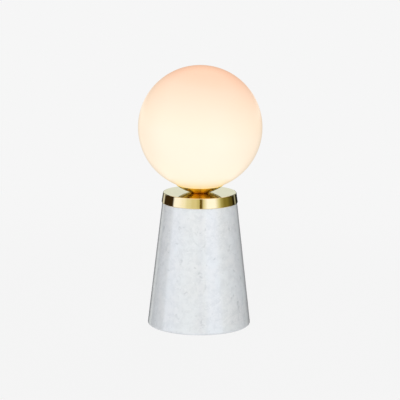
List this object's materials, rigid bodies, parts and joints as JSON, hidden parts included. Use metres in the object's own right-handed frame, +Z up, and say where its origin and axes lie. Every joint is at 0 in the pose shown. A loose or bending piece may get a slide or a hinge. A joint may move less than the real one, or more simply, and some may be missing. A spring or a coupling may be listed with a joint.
{
  "type": "glass globe table lamp",
  "caption": "Table lamp with an opal glass globe in a shallow brass cup, on a brass collar over a tapered stone base.",
  "frame": {"origin": "centre of the underside of the base pad", "axes": "+Z up along the lamp's axis; +Y towards the cable outlet at the back, so the front faces -Y"},
  "size_m": [0.13, 0.13, 0.276],
  "materials": {
    "opal_glass": "glossy blown opal glass",
    "brass": "mirror-polished, clear lacquer",
    "marble": "polished pale grey marble",
    "steel": "zinc plated",
    "tinned": "tinned",
    "silicone": "matt translucent silicone",
    "rubber": "matt grey",
    "pad": "fine pale cell foam",
    "nylon": "moulded natural nylon",
    "ceramic": "unglazed steatite",
    "bulb_plastic": "moulded white",
    "bulb_cover": "frosted diffuser",
    "board": "white solder mask",
    "led": "phosphor",
    "lead_brown": "matt silicone",
    "lead_blue": "matt silicone",
    "lead_green": "matt silicone"
  },
  "bodies": {
    "lamp_base": {"base_pad": "pad", "stone_base": "marble", "cable_grommet": "rubber", "bottom_cover": "steel", "cover_screws": "steel", "cover_plugs": "nylon", "collar": "brass", "collar_spacer": "steel", "threaded_tube": "steel", "clamp_washer": "steel", "earth_tag": "tinned", "lock_washer": "steel", "base_nut": "steel", "globe_cup": "brass", "globe_carrier": "nylon", "carrier_nut": "steel", "holder_bracket": "steel", "bracket_nut": "steel", "lampholder_body": "ceramic", "lampholder_contacts": "tinned", "holder_screws": "steel", "terminal_block": "nylon", "terminal_barrels": "tinned", "terminal_screws": "steel", "block_screws": "steel", "lead_live": "lead_brown", "lead_neutral": "lead_blue", "lead_earth": "lead_green"},
    "gasket_ring": {"globe_gasket": "silicone"},
    "globe": {"glass_globe": "opal_glass"},
    "bulb": {"bulb_base": "bulb_plastic", "bulb_pins": "tinned", "bulb_cover": "bulb_cover", "bulb_board": "board", "bulb_leds": "led"}
  },
  "joints": [
    {"name": "globe_turn", "type": "hinge", "parent": "lamp_base", "child": "gasket_ring", "pos_m": [0, 0, 0.148], "axis": [0, 0, 1], "range_deg": [0, 720]},
    {"name": "globe_rise", "type": "slide", "parent": "gasket_ring", "child": "globe", "axis": [0, 0, 1], "range_m": [0, 0.008]},
    {"name": "bulb_pull", "type": "slide", "parent": "lamp_base", "child": "bulb", "axis": [0, 0, 1], "range_m": [0, 0.015]}
  ],
  "couplings": [
    {"joint": "globe_rise", "follows": "globe_turn", "m_per_rad": 0.0006366}
  ]
}
